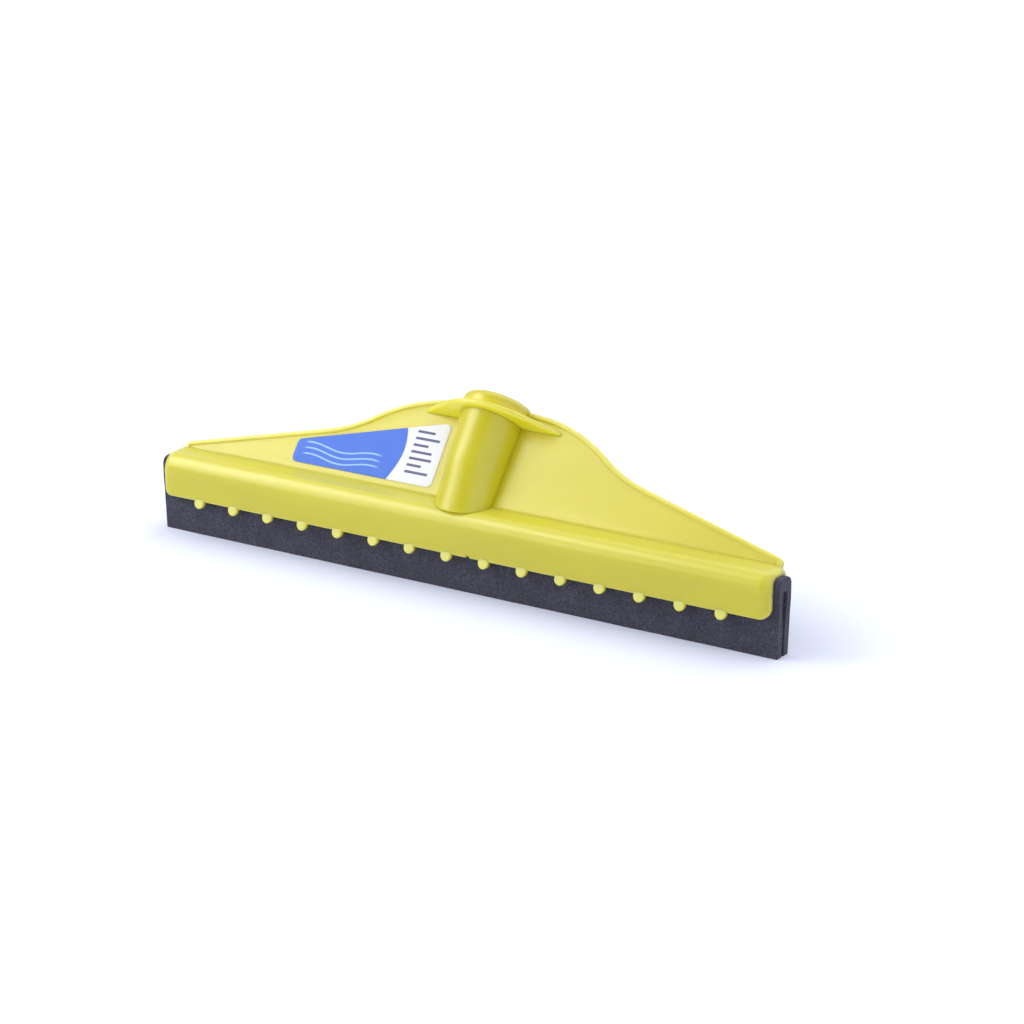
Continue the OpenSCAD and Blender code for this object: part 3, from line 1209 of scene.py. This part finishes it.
        # painted highlight along the collar's front edge
        glow = np.concatenate([np.zeros(7), 0.7 * np.cos(arc), np.zeros(7)])
        mark(piece, "edge", np.broadcast_to(glow[:, None], rows.shape[:2]))
        # painted glow: the whole underside takes the warm colour of a thin wall
        under = np.concatenate([np.zeros(7), smooth(-np.sin(arc)), np.ones(7)])
        mark(piece, "thin", np.broadcast_to(under[:, None], rows.shape[:2]))
        return piece


@dataclass
class StickerLabel:
    """The printed sticker on the left half of the web.

    Attributes:
        layout: shared places.
        off: distance from the middle of the head to the near end.
        length: length of the sticker.
        foot_s: lower edge along the slope.
        low_h: height at the far end.
        high_h: height at the near end.
        corner_r: rounding of the corners.
        thick: thickness of the paper.
    """

    layout: Layout
    off: float = 18.5 * MM
    length: float = 71.5 * MM
    foot_s: float = 3.0 * MM
    low_h: float = 10.0 * MM
    high_h: float = 29.0 * MM
    corner_r: float = 2.5 * MM
    thick: float = 0.18 * MM

    def build(self) -> bpy.types.Object:
        """Builds the sticker.

        Rows shrink the rounded outline towards its middle, first over the paper's edge and then across its face.

        Returns:
            The piece.
        """
        near, far = -self.off, -self.off - self.length
        outline = rounded_path(
            [[far, self.foot_s], [near, self.foot_s], [near, self.foot_s + self.high_h],
             [far, self.foot_s + self.low_h]],
            np.full(4, self.corner_r), 8, 12, closed=True,
        )
        middle = outline.mean(0)
        shrink = np.array([1.0, 1.0, 0.997, 0.97, 0.75, 0.5, 0.25, 0.05])
        lift = np.array([-0.05 * MM, 0.75 * self.thick, *np.full(6, self.thick)])
        flat = middle + (outline - middle) * shrink[:, None, None]
        piece = skin("printed_label", self.layout.leaning(flat[..., 0], -lift[:, None], flat[..., 1]))
        uv = ((flat - [far, self.foot_s]) / MM).reshape(-1, 2)
        corner = np.zeros(len(piece.data.loops), int)
        piece.data.loops.foreach_get("vertex_index", corner)
        layer = piece.data.uv_layers.new(name="sticker")
        layer.data.foreach_set("uv", uv[corner].astype(np.float32).ravel())
        return piece


# The blade


@dataclass
class FoamBlade:
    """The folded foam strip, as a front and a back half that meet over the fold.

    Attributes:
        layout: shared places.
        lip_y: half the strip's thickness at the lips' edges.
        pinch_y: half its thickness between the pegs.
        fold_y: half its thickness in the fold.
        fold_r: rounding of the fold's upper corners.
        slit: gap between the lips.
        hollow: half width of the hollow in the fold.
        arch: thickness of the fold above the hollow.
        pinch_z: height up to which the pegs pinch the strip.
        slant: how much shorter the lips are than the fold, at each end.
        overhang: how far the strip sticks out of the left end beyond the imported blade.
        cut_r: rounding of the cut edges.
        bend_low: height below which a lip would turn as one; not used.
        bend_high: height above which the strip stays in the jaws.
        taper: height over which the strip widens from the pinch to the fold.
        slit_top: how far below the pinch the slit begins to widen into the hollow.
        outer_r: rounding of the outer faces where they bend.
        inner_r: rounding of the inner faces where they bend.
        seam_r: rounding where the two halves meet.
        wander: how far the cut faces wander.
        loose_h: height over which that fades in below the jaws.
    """

    layout: Layout
    lip_y: float = 4.35 * MM
    pinch_y: float = 4.6 * MM
    fold_y: float = 4.95 * MM
    fold_r: float = 3.3 * MM
    slit: float = 1.4 * MM
    hollow: float = 1.5 * MM
    arch: float = 5.3 * MM
    pinch_z: float = 17.6 * MM
    slant: float = 0.5 * MM
    overhang: float = 1.4 * MM
    cut_r: float = 0.35 * MM
    bend_low: float = 8.6 * MM
    bend_high: float = 13.9 * MM
    taper: float = 5 * MM
    slit_top: float = 6 * MM
    outer_r: float = 6 * MM
    inner_r: float = 3 * MM
    seam_r: float = 0.02 * MM
    wander: float = 0.06 * MM
    loose_h: float = 6 * MM

    def build(self, side: Side) -> bpy.types.Object:
        """Builds one half.

        Its section goes up the outer face, over the fold and down the inner face. Along X the cut faces wander by a few
        hundredths of a millimetre, as sawn foam does. The ends are rounded over and slant: x shrinks by the slant times
        1 - z / fold height.

        Args:
            side: the half to build.

        Returns:
            The piece.
        """
        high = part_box("blade_fold")[1]
        gap, roof_z = self.slit / 2, high.z - self.arch
        fold_z = self.pinch_z + self.taper
        corners = [
            [self.lip_y, 0], [self.pinch_y, self.pinch_z], [self.fold_y, fold_z], [self.fold_y, high.z], [0, high.z],
            [0, roof_z], [self.hollow, roof_z], [self.hollow, fold_z], [gap, self.pinch_z - self.slit_top], [gap, 0],
        ]
        radii = [
            self.cut_r, self.outer_r, self.outer_r, self.fold_r, self.seam_r, self.seam_r, 0.95 * self.hollow,
            self.inner_r, self.inner_r, 0.2 * MM,
        ]
        outline = rounded_path(corners, np.array(radii), 8, 14, closed=True)
        turn = np.linspace(0, np.pi / 2, 6)[1:]
        end = high.x - self.cut_r * (1 - np.sin(turn))
        middle = np.linspace(self.cut_r - high.x - self.overhang, high.x - self.cut_r, 150)
        x = np.concatenate([-end[::-1] - self.overhang, middle, end])
        inset = self.cut_r * (1 - np.cos(np.concatenate([turn[::-1], 0 * middle, turn])))
        chord = np.roll(outline, -1, 0) - np.roll(outline, 1, 0)
        outward = unit(np.stack([chord[:, 1], -chord[:, 0]], -1)) * (outline[:, :1] > 0.1 * MM)
        section = outline - inset[:, None, None] * outward
        wander = self.wander * (np.sin(x / (11 * MM)) + np.sin(x / (4.3 * MM) + 1.3))
        outer = section[..., 0] > (gap + self.lip_y) / 2
        loose = smooth((self.bend_high - section[..., 1]) / self.loose_h) * outer
        y = side.value * (section[..., 0] + loose * wander[:, None])
        shorten = 1 - self.slant / high.x * np.clip(1 - section[..., 1] / fold_z, 0, 1)
        return skin(f"{side.name.lower()}_foam", self.layout.upright(x[:, None] * shorten, y, section[..., 1]))

    def hinge(self, piece: bpy.types.Object) -> None:
        """Bakes the half's placement into its mesh.

        Args:
            piece: the half.
        """
        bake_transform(piece)


# The studio


@dataclass(frozen=True)
class Lamp:
    """A rectangular soft lamp that faces the head.

    Attributes:
        name: the lamp's name.
        spot: its place.
        size: its width and height.
        power: its power in watts.
        color: its colour.
        aim: the point that it faces.
    """

    name: str
    spot: Triple
    size: tuple[float, float]
    power: float
    color: Color = (1.0, 1.0, 1.0)
    aim: Triple = (0.0, 0.0, 30 * MM)

    def hang(self) -> None:
        """Adds the lamp to the scene."""
        data = bpy.data.lights.new(self.name, "AREA")
        data.shape = "RECTANGLE"
        data.size, data.size_y = self.size
        data.energy = self.power
        data.color = self.color
        lamp = bpy.data.objects.new(self.name, data)
        lamp.location = self.spot
        toward = Vector(self.aim) - Vector(self.spot)
        lamp.rotation_euler = toward.to_track_quat("-Z", "Y").to_euler()
        bpy.context.scene.collection.objects.link(lamp)


@dataclass(frozen=True)
class Fill:
    """Light of the surroundings for one kind of ray.

    Attributes:
        ray: the Light Path output that tells that kind of ray; empty for all the other rays.
        axis: the axis of the direction along which its strength changes; empty where it is even.
        span: where along that axis the change starts and ends.
        strength: strength at the start and at the end.
        color: its colour.
    """

    ray: str
    axis: str
    span: tuple[float, float]
    strength: tuple[float, float]
    color: Color = (1.0, 1.0, 1.0)

    def light(self, tree: bpy.types.NodeTree, direction: bpy.types.Node) -> Socket:
        """Adds the light's nodes.

        Args:
            tree: the world's node tree.
            direction: the node that splits the direction into its axes.

        Returns:
            The shader's socket.
        """
        light = tree.nodes.new("ShaderNodeBackground")
        light.inputs["Color"].default_value = (*self.color, 1.0)
        if not self.axis:
            light.inputs["Strength"].default_value = self.strength[0]
            return light.outputs[0]
        strength = tree.nodes.new("ShaderNodeMapRange")
        for socket, number in zip(strength.inputs[1:5], (*self.span, *self.strength)):
            socket.default_value = number
        tree.links.new(direction.outputs[self.axis], strength.inputs["Value"])
        tree.links.new(strength.outputs["Result"], light.inputs["Strength"])
        return light.outputs[0]


LAMPS = (
    Lamp("key", (-0.87, -0.50, 0.85), (0.70, 0.80), 6.7, (1.0, 0.995, 0.98)),
    Lamp("low", (-0.92, -1.00, 0.40), (1.15, 0.55), 4.4),
    Lamp("above", (0.1, 0.35, 1.5), (1.4, 1.2), 6.0),
    Lamp("behind", (0.4, 1.3, 0.8), (1.4, 1.0), 3.5),
    Lamp("right", (1.2, -0.7, 0.6), (1.8, 1.4), 6.5, (0.97, 0.98, 1.0)),
)

FILLS = (
    Fill("", "Z", (0.0, 0.6), (0.28, 0.48), (0.95, 0.97, 1.0)),
    Fill("Is Glossy Ray", "Y", (-0.3, 0.4), (0.06, 0.9)),
    Fill("Is Camera Ray", "", (0.0, 1.0), (1.0, 1.0)),
)


@dataclass
class Studio:
    """Pale floor, soft lamps and the camera.

    Attributes:
        layout: shared places.
        azimuth: how far the camera stands to the right of the front, in degrees.
        elevation: how far it looks down, in degrees.
        focal_px: focal length in pixels of the photograph.
        distance: from the camera to the point that it looks at.
        aim_right: that point, to the right of the blade's bottom middle as the camera sees it.
        aim_up: that point, above it.
    """

    layout: Layout
    azimuth: float = 33.2
    elevation: float = 17.81
    focal_px: float = 3014.9
    distance: float = 1.23484
    aim_right: float = 21.3 * MM
    aim_up: float = 30.62 * MM

    def axes(self) -> tuple[Vector, Vector, Vector]:
        """The camera's right, up and backward directions."""
        az, el = math.radians(self.azimuth), math.radians(self.elevation)
        right = Vector((math.cos(az), math.sin(az), 0))
        back = Vector((math.sin(az) * math.cos(el), -math.cos(az) * math.cos(el), math.sin(el)))
        return right, back.cross(right), back

    def add_camera(self) -> None:
        """Puts the camera at the photograph's place."""
        right, up, back = self.axes()
        foot = Vector((0, self.layout.mid_y, 0))
        spot = foot + right * self.aim_right + up * self.aim_up + back * self.distance
        data = bpy.data.cameras.new("camera")
        data.sensor_width = 36.0
        data.lens = self.focal_px / PHOTO_SIDE * data.sensor_width
        camera = bpy.data.objects.new("camera", data)
        camera.matrix_world = Matrix.Translation(spot) @ Matrix((right, up, back)).transposed().to_4x4()
        bpy.context.scene.collection.objects.link(camera)
        bpy.context.scene.camera = camera

    def add_lamps(self) -> None:
        """Hangs a key softbox on the left, in the direction that the web mirrors, and four weaker ones."""
        for lamp in LAMPS:
            lamp.hang()

    def add_world(self) -> None:
        """Surrounds the head with a soft bluish fill.

        For diffuse light the fill grows with the height of its direction. Reflections see a dark room in front and a
        bright one behind, and the camera sees white.
        """
        world = bpy.data.worlds.new("studio")
        world.use_nodes = True
        tree = world.node_tree
        tree.nodes.clear()
        toward = tree.nodes.new("ShaderNodeTexCoord")
        split = tree.nodes.new("ShaderNodeSeparateXYZ")
        tree.links.new(toward.outputs["Generated"], split.inputs[0])
        rays = tree.nodes.new("ShaderNodeLightPath")
        shader = FILLS[0].light(tree, split)
        for fill in FILLS[1:]:
            choice = tree.nodes.new("ShaderNodeMixShader")
            tree.links.new(rays.outputs[fill.ray], choice.inputs[0])
            tree.links.new(shader, choice.inputs[1])
            tree.links.new(fill.light(tree, split), choice.inputs[2])
            shader = choice.outputs[0]
        output = tree.nodes.new("ShaderNodeOutputWorld")
        tree.links.new(shader, output.inputs["Surface"])
        bpy.context.scene.world = world

    def add_floor(self, half: float = 6.0) -> None:
        """Lays the floor.

        Args:
            half: half the floor's side.
        """
        mesh = bpy.data.meshes.new("floor")
        side = np.array([-half, half])
        x, y = (grid.ravel() for grid in np.meshgrid(side, side))
        mesh.from_pydata(np.stack([x, y, 0 * x], -1), [], [(0, 1, 3, 2)])
        floor = bpy.data.objects.new("floor", mesh)
        bpy.context.scene.collection.objects.link(floor)
        mesh.materials.append(StudioFloor().make())

    def build(self) -> None:
        """Adds everything round the head and sets the plain view transform."""
        bpy.context.scene.view_settings.view_transform = "Standard"
        self.add_camera()
        self.add_lamps()
        self.add_world()
        self.add_floor()


def dress(piece: bpy.types.Object, material: bpy.types.Material, slot: str, *nodes: str) -> None:
    """Gives a piece its finish and says which CAD nodes it stands for.

    Args:
        piece: the new piece.
        material: its finish.
        slot: the record's material slot; not used.
        *nodes: the CAD nodes.
    """
    piece.data.materials.append(material)
    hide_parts(*nodes)
    log.info("%s: %d faces, for %s", piece.name, len(piece.data.polygons), ", ".join(nodes))


def main() -> None:
    """Builds the head, the blade and the studio in order."""
    logging.basicConfig(level=logging.INFO, format="%(message)s")
    layout = Layout.read()
    plastic, foam, paper = MouldedPlastic().make(), FoamRubber().make(), PrintedPaper().make()
    socket = HandleSocket(layout)
    front, back = GripPegs(layout, Side.FRONT), GripPegs(layout, Side.BACK)
    moulded = [
        (BladeChannel(layout).build(), ["blade_channel"]),
        (front.build(), [front.node]),
        (back.build(), [back.node]),
        (WebPanel(layout).build(), ["web_panel"]),
        (socket.build_tube(), ["handle_socket", "mouth_ring"]),
        (socket.build_collar(), ["socket_collar"]),
    ]
    for piece, nodes in moulded:
        dress(piece, plastic, "head_plastic", *nodes)
        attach(piece, "head")
    sticker = StickerLabel(layout).build()
    dress(sticker, paper, "label_paper", "label")
    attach(sticker, "head")
    blade = FoamBlade(layout)
    for side in Side:
        half = blade.build(side)
        dress(half, foam, "blade_foam", "blade_fold", f"{side.name.lower()}_lip")
        blade.hinge(half)
    Studio(layout).build()


if __name__ == "__main__":
    main()
